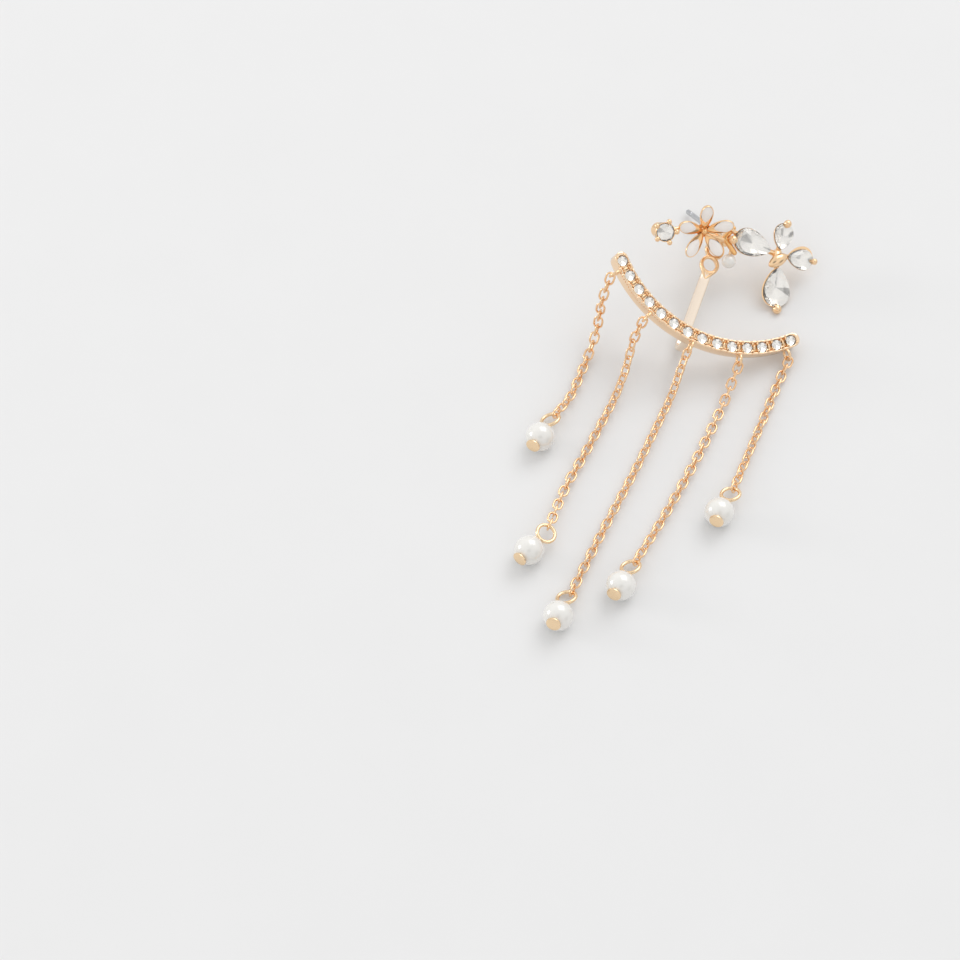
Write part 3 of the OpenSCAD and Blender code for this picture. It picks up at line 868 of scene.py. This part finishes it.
# The stem takes the paler copy of the gold, which is a painted highlight.
piece("stem", stem(), "jacket", "rose_gold", STEM_PAINTED_HIGHLIGHT_GOLD, "jacket_frame")
piece("plate", plate(), "jacket", "rose_gold", ROSE_GOLD, "jacket_frame")
for i in range(BAR_COUNT):
    number = f"{i + 1:02d}"
    stone(f"bar_cut_stone_{number}", bar_stone(i), "jacket", f"bar_stone_{number}")
for k in range(len(PEARLS)):
    piece(f"turned_pin_{k + 1}", head_pin(k), "jacket", "pin_gold", PIN_GOLD, f"head_pin_{k + 1}")
    piece(f"drilled_pearl_{k + 1}", drilled_pearl(k), "jacket", "pearl", PEARL, f"pearl_{k + 1}")
piece("cluster_metal", cluster_metal(), "climber", "rose_gold", ROSE_GOLD, "climber_casting")
# The fork takes the darker copy of the gold, which is painted shade.
piece("cluster_fork", cluster_fork(), "climber", "rose_gold", PAINTED_SHADE_GOLD, "climber_casting")
piece("flower_metal", flower_metal(), "climber", "rose_gold", FLOWER_GOLD, "climber_casting")
piece("crown_metal", crown_metal(), "climber", "rose_gold", ROSE_GOLD, "climber_casting")
piece("climber_arms", arms(), "climber", "rose_gold", ROSE_GOLD, "climber_casting")
for i, pear in enumerate(PEARS):
    stone(f"pear_cut_stone_{i + 1}", pear_stone(pear), "climber", f"pear_stone_{i + 1}")
stone("round_cut_stone", round_stone(), "climber", "round_stone")
piece("seed_pearl_ball", seed_pearl(), "climber", "pearl", PEARL, "seed_pearl")
for i in range(PETAL_COUNT):
    piece(f"petal_enamel_{i + 1}", enamel(i), "climber", "petal_enamel", ENAMEL, f"enamel_petal_{i + 1}")


def finish_node(name, material):
    """Gives a carried-over node its finish."""
    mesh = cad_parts[name].data
    mesh.materials.clear()
    mesh.materials.append(material)


for k in range(len(PEARLS)):
    finish_node(f"chain_{k + 1}", CHAIN_GOLD)
finish_node("ear_post", STEEL)


# Surface, light and camera

def floor():
    """A wide sheet, level within a hundredth of a millimetre, just under the earring."""
    half, under = 1500, 0.02
    side = np.linspace(-half, half, 41)
    x, y = np.meshgrid(side, side, indexing="ij")
    points = np.stack([x, y, -under - 1e-9 * (x * x + y * y)], axis=-1)
    mesh = bpy.data.meshes.new("surface")
    flat, faces = grid(points, around=False)
    mesh.from_pydata((flat * MM).tolist(), [], [face[::-1] for face in faces])
    mesh.materials.append(floor_paint())
    new = bpy.data.objects.new("surface", mesh)
    bpy.context.scene.collection.objects.link(new)


def studio():
    """A pale room, dimmer at the horizon and bright overhead, with two soft dark patches: the camera's own,
    and a low one at the right. A patch is its direction, the cosines of the angles from that direction at
    which it starts and is full, and its strength."""
    shader = Shader(bpy.data.worlds.new("studio"), "Background", Strength=1.0)
    way = shader.node("ShaderNodeTexCoord", output="Generated")
    height = shader.node("ShaderNodeSeparateXYZ", None, {0: way}, output=2)
    grey = [(z, (v, v, v)) for z, v in ((0.0, 0.7), (0.16, 0.8), (0.4, 0.9), (0.75, 0.98), (1.0, 0.84))]
    room = shader.node("ShaderNodeValToRGB", {"stops": grey}, {0: height})
    for toward, start, full, strength in (
            ((0, -0.56, 0.83), 0.955, 0.99, 0.8),
            ((0.86, -0.48, 0.16), 0.94, 0.985, 0.6)):
        settings = {"operation": "DOT_PRODUCT"}
        near = shader.node("ShaderNodeVectorMath", settings, {0: way, 1: toward}, output=1)
        fade = {"Value": near, 1: start, 2: full, 3: 0.0, 4: strength}
        dark = shader.node("ShaderNodeMapRange", {"interpolation_type": "SMOOTHSTEP"}, fade)
        room = shader.blend(dark, room, (0.08, 0.08, 0.08))
    shader.set(Color=room)
    bpy.context.scene.world = shader.owner


def soft_light(name, at, aim, size, power):
    """A square soft light at a place, aimed at another."""
    data = bpy.data.lights.new(name, "AREA")
    data.size = size
    data.energy = power
    new = bpy.data.objects.new(name, data)
    back = np.array(at, float) - aim
    back /= np.linalg.norm(back)
    across = np.cross((0, 1, 0), back)
    across /= np.linalg.norm(across)
    new.location = at
    rotation = np.stack([across, np.cross(back, across), back], axis=-1)
    new.rotation_euler = Matrix(rotation.tolist()).to_euler()
    bpy.context.scene.collection.objects.link(new)


def camera():
    """The photograph's view: 58 degrees above the surface, looking along +Y."""
    aim, away = np.array([-0.0261, -0.0106, 0]), 0.3394
    rise = math.radians(58)
    data = bpy.data.cameras.new("view")
    data.sensor_width = 36
    data.lens = 93.73
    data.clip_start = 0.01
    data.clip_end = 10
    new = bpy.data.objects.new("view", data)
    new.location = aim + away * np.array([0, -math.cos(rise), math.sin(rise)])
    new.rotation_euler = (math.pi / 2 - rise, 0, 0)
    bpy.context.scene.collection.objects.link(new)
    bpy.context.scene.camera = new


floor()
studio()
soft_light("high_behind", (0.5, 0.83, 1.15), (0, 0, 0), 1.06, 5.9)
soft_light("low_left", (-0.76, 0.15, 0.21), (0, 0, 0), 0.24, 1.0)
camera()
bpy.context.scene.view_settings.view_transform = "Standard"
